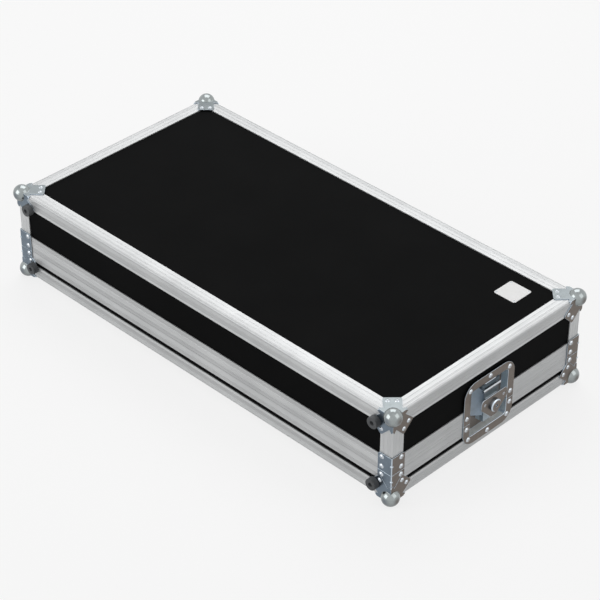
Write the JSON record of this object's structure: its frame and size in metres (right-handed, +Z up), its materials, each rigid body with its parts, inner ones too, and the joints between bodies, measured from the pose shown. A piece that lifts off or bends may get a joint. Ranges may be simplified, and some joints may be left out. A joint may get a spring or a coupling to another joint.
{
  "type": "lighting console flight case",
  "caption": "Low flight case with a lift-off hood, aluminium edging, ball corners, recessed turn latches on its ends, a folding carry handle and rubber feet on one long side.",
  "frame": {"origin": "centre of the case's bounding box in plan, at the underside of the lower ball corners", "axes": "+X along the case's length, -Y towards the long side with the rubber feet, +Z up"},
  "size_m": [0.81, 0.4178, 0.165],
  "materials": {
    "panel": "plywood with a black textured laminate",
    "edging": "natural extruded aluminium",
    "zinc_steel": "bright zinc plating",
    "foot_rubber": "matt grey rubber",
    "pad_rubber": "matt dark rubber",
    "grip_rubber": "matt black rubber",
    "foam": "dark grey soft foam",
    "label": "plain white plate"
  },
  "bodies": {
    "base": {"base_floor": "panel", "base_panel_front": "panel", "base_panel_right": "panel", "base_panel_back": "panel", "base_panel_left": "panel", "base_edge_front": "edging", "base_edge_right": "edging", "base_edge_back": "edging", "base_edge_left": "edging", "base_posts": "edging", "base_rim_front": "edging", "base_rim_right": "edging", "base_rim_back": "edging", "base_rim_left": "edging", "base_corner_front_right": "zinc_steel", "base_corner_back_right": "zinc_steel", "base_corner_back_left": "zinc_steel", "base_corner_front_left": "zinc_steel", "base_braces": "zinc_steel", "base_fasteners": "zinc_steel", "base_feet": "foot_rubber", "base_foam": "foam", "keep_right": "zinc_steel", "keep_left": "zinc_steel"},
    "hood": {"hood_top": "panel", "hood_panel_front": "panel", "hood_panel_right": "panel", "hood_panel_back": "panel", "hood_panel_left": "panel", "hood_edge_front": "edging", "hood_edge_right": "edging", "hood_edge_back": "edging", "hood_edge_left": "edging", "hood_posts": "edging", "hood_rim_front": "edging", "hood_rim_right": "edging", "hood_rim_back": "edging", "hood_rim_left": "edging", "hood_corner_front_right": "zinc_steel", "hood_corner_back_right": "zinc_steel", "hood_corner_back_left": "zinc_steel", "hood_corner_front_left": "zinc_steel", "hood_braces": "zinc_steel", "hood_fasteners": "zinc_steel", "hood_feet": "foot_rubber", "hood_foam": "foam", "label_plate": "label", "dish_right": "zinc_steel", "pad_right": "pad_rubber", "dish_left": "zinc_steel", "pad_left": "pad_rubber", "handle_plate": "zinc_steel"},
    "latch_right": {"spindle_right": "zinc_steel", "wing_right": "zinc_steel"},
    "claw_right": {"claw_right": "zinc_steel"},
    "latch_left": {"spindle_left": "zinc_steel", "wing_left": "zinc_steel"},
    "claw_left": {"claw_left": "zinc_steel"},
    "handle": {"handle_bail": "zinc_steel", "handle_grip": "grip_rubber"}
  },
  "joints": [
    {"name": "hood_lift", "type": "slide", "parent": "base", "child": "hood", "axis": [0, 0, 1], "range_m": [0, 0.15]},
    {"name": "latch_right_turn", "type": "hinge", "parent": "hood", "child": "latch_right", "pos_m": [0.389, -0.00185, 0.0746], "axis": [1, 0, 0], "range_deg": [0, 180]},
    {"name": "claw_right_slide", "type": "slide", "parent": "hood", "child": "claw_right", "axis": [0, 0, -1], "range_m": [0, 0.004]},
    {"name": "latch_left_turn", "type": "hinge", "parent": "hood", "child": "latch_left", "pos_m": [-0.389, -0.00185, 0.0746], "axis": [-1, 0, 0], "range_deg": [0, 180]},
    {"name": "claw_left_slide", "type": "slide", "parent": "hood", "child": "claw_left", "axis": [0, 0, -1], "range_m": [0, 0.004]},
    {"name": "handle_fold", "type": "hinge", "parent": "hood", "child": "handle", "pos_m": [0, 0.20195, 0.11993], "axis": [1, 0, 0], "range_deg": [0, 90], "stiffness_Nm_per_rad": 0.06, "springref_deg": -17.19}
  ],
  "couplings": [
    {"joint": "latch_right_turn", "follows": "claw_right_slide", "rad_per_m": 785.4},
    {"joint": "latch_left_turn", "follows": "claw_left_slide", "rad_per_m": 785.4}
  ]
}
